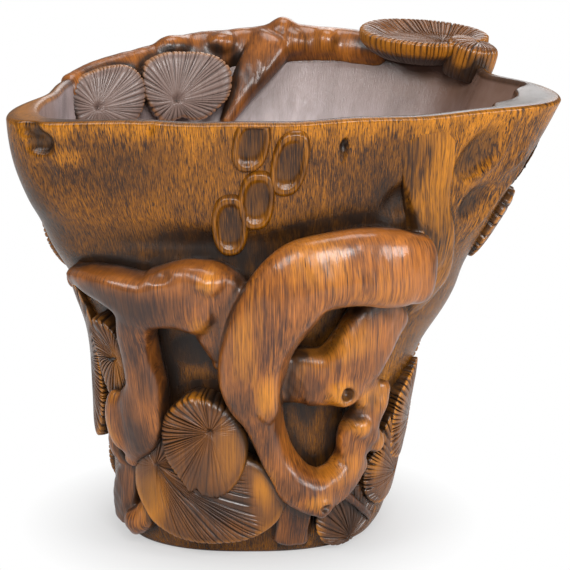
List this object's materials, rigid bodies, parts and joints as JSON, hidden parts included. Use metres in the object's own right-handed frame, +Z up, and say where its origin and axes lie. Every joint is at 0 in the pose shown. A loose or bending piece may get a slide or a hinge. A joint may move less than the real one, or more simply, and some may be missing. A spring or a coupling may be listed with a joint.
{
  "type": "carved libation cup",
  "caption": "Small cup with a flaring mouth drawn out to a tip, carved all round with pine branches and pads of needles; an openwork trunk at the back is its handle.",
  "frame": {"origin": "middle of the foot's flat resting face", "axes": "+Z up, +X towards the long tip of the mouth, the front with the ring of trunk faces -Y and the handle is at +Y"},
  "size_m": [0.1124, 0.0994, 0.1056],
  "materials": {
    "vessel": "waxed horn, golden brown with dark upright fibres",
    "branches": "polished horn, reddish brown",
    "rim_branches": "polished horn, reddish brown",
    "bark": "waxed horn, golden brown",
    "needle_pads": "waxed horn, brown with dark grooves and amber edges"
  },
  "bodies": {
    "root": {"vessel": "vessel", "trunk_ring": "branches", "twig_knotted": "branches", "trunk_stub": "branches", "needles_front_upper": "needle_pads", "branch_left": "branches", "limb_left": "branches", "limb_left_spur": "branches", "trunk_root": "branches", "needles_front_lower": "needle_pads", "root_left_front": "branches", "root_left": "branches", "bark_ridge": "bark", "needles_left_front": "needle_pads", "needles_left": "needle_pads", "needles_right_low": "needle_pads", "needles_right_middle": "needle_pads", "needles_foot_right": "needle_pads", "needles_tip_upper": "needle_pads", "needles_tip_lower": "needle_pads", "handle_trunk": "branches", "handle_branch": "rim_branches", "handle_fork": "rim_branches", "needles_rim_middle": "needle_pads", "needles_rim_left": "needle_pads", "needles_rim_right": "needle_pads", "needles_rim_right_low": "needle_pads", "branch_back_left": "branches", "branch_back_right": "branches", "branch_back_upper": "branches", "needles_back_high": "needle_pads", "needles_back_left_upper": "needle_pads", "needles_back_left_middle": "needle_pads", "needles_back_left_low": "needle_pads", "needles_back_foot": "needle_pads", "needles_back_right_low": "needle_pads", "needles_back_right_middle": "needle_pads", "needles_back_right_upper": "needle_pads", "needles_back_right_side": "needle_pads", "bark_scale_1": "bark", "bark_scale_2": "bark", "bark_scale_3": "bark", "bark_scale_4": "bark"}
  },
  "joints": []
}
